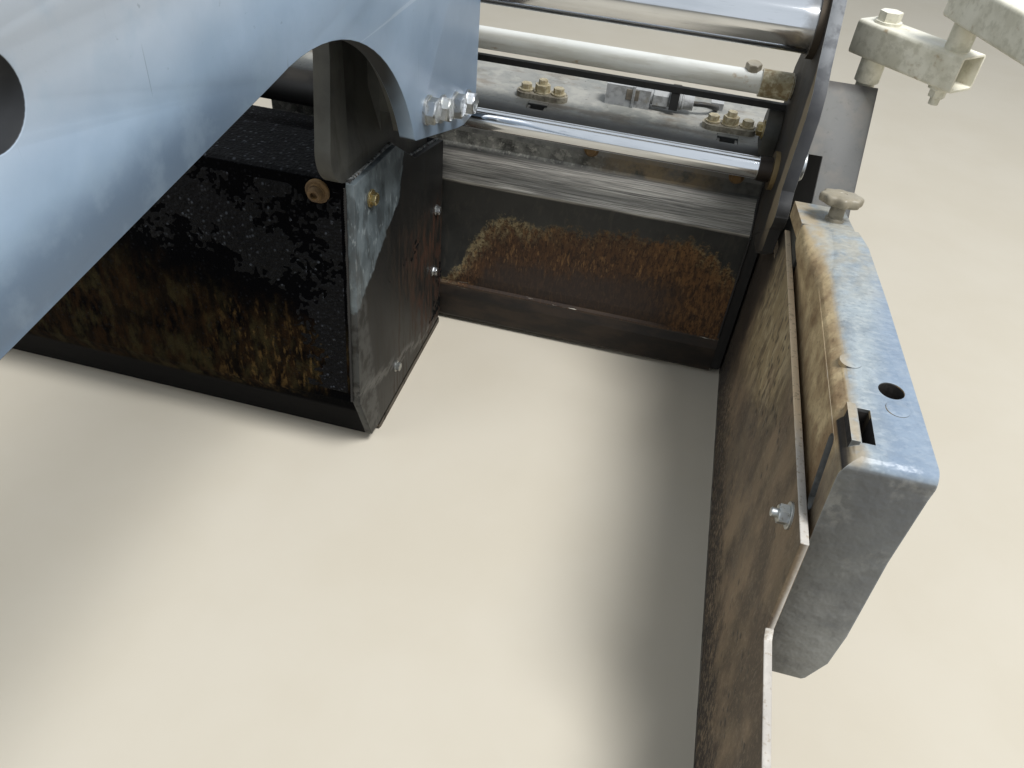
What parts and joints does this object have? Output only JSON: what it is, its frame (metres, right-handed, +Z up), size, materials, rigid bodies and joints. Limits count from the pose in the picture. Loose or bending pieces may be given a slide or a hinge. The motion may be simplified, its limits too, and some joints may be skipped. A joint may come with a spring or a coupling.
{
  "type": "extending paver screed half",
  "caption": "Left half of a paver's extending screed: crown-jointed main box with tow arm, telescopic rear extension on a guide tube, floating end gate and folding sensor arms.",
  "frame": {"origin": "on the crown joint face's plane, on the ground, under the middle of the main sole plate's depth", "axes": "+X outboard to the machine's left side, +Y rearward against the direction of travel, +Z up"},
  "size_m": [2.1517, 3.4549, 1.108],
  "materials": {
    "dark_paint": "worn dark grey paint",
    "slate_paint": "scratched slate grey paint",
    "bitumen_steel": "steel stained by bitumen and rust",
    "worn_steel": "bare worn steel",
    "dusty_steel": "dusty, worn to brown",
    "hard_chrome": "polished hard chrome",
    "zinc_plate": "dull yellowish zinc plating",
    "connector_grey": "cast, dusty",
    "cable_black": "matte"
  },
  "bodies": {
    "main": {"main_frame": "dark_paint", "main_front_wall": "bitumen_steel", "main_end_plate": "dark_paint", "main_deck": "dark_paint", "main_sole_plate": "worn_steel", "main_tamper_bar": "worn_steel", "crown_flange": "dark_paint", "tow_arm": "slate_paint", "tow_arm_bracket": "dark_paint", "guide_towers": "dark_paint", "guide_sleeve": "dark_paint", "pipe_sleeves": "dark_paint", "cylinder_barrel": "dark_paint", "main_walkway": "dark_paint", "walkway_carriers": "dark_paint"},
    "extension": {"ext_front_wall": "bitumen_steel", "ext_top_plate": "dusty_steel", "ext_frame": "dark_paint", "ext_sole_plate": "worn_steel", "ext_tamper_bar": "worn_steel", "ext_end_plate": "slate_paint", "ear_lug": "dark_paint", "height_adjusters": "dusty_steel", "cable_connector": "connector_grey", "heater_cable": "cable_black", "guide_tube": "hard_chrome", "support_pipe": "zinc_plate", "guide_bar": "dark_paint", "cylinder_rod": "hard_chrome", "gate_cover": "slate_paint", "gate_studs": "zinc_plate", "pivot_post": "zinc_plate", "ext_walkway": "dark_paint"},
    "gate": {"gate_plate": "bitumen_steel", "gate_housing": "slate_paint", "star_knob": "zinc_plate", "gate_skid": "worn_steel"},
    "link_1": {"link_arm_1": "zinc_plate", "link_pivot_bolt": "zinc_plate"},
    "link_2": {"link_arm_2": "zinc_plate", "pole_clamp": "zinc_plate"}
  },
  "joints": [
    {"name": "extension_slide", "type": "slide", "parent": "main", "child": "extension", "axis": [1, 0, 0], "range_m": [-0.555, 0.225]},
    {"name": "gate_float", "type": "slide", "parent": "extension", "child": "gate", "axis": [0, 0, 1], "range_m": [-0.04, 0.12]},
    {"name": "link_1_swing", "type": "hinge", "parent": "extension", "child": "link_1", "pos_m": [1.912, 0.228, 0.75], "axis": [0, 0, 1], "range_deg": [-15, 90]},
    {"name": "link_2_swing", "type": "hinge", "parent": "link_1", "child": "link_2", "pos_m": [2.00675, 0.13325, 0.845], "axis": [0, 0, 1], "range_deg": [-15, 85]}
  ]
}
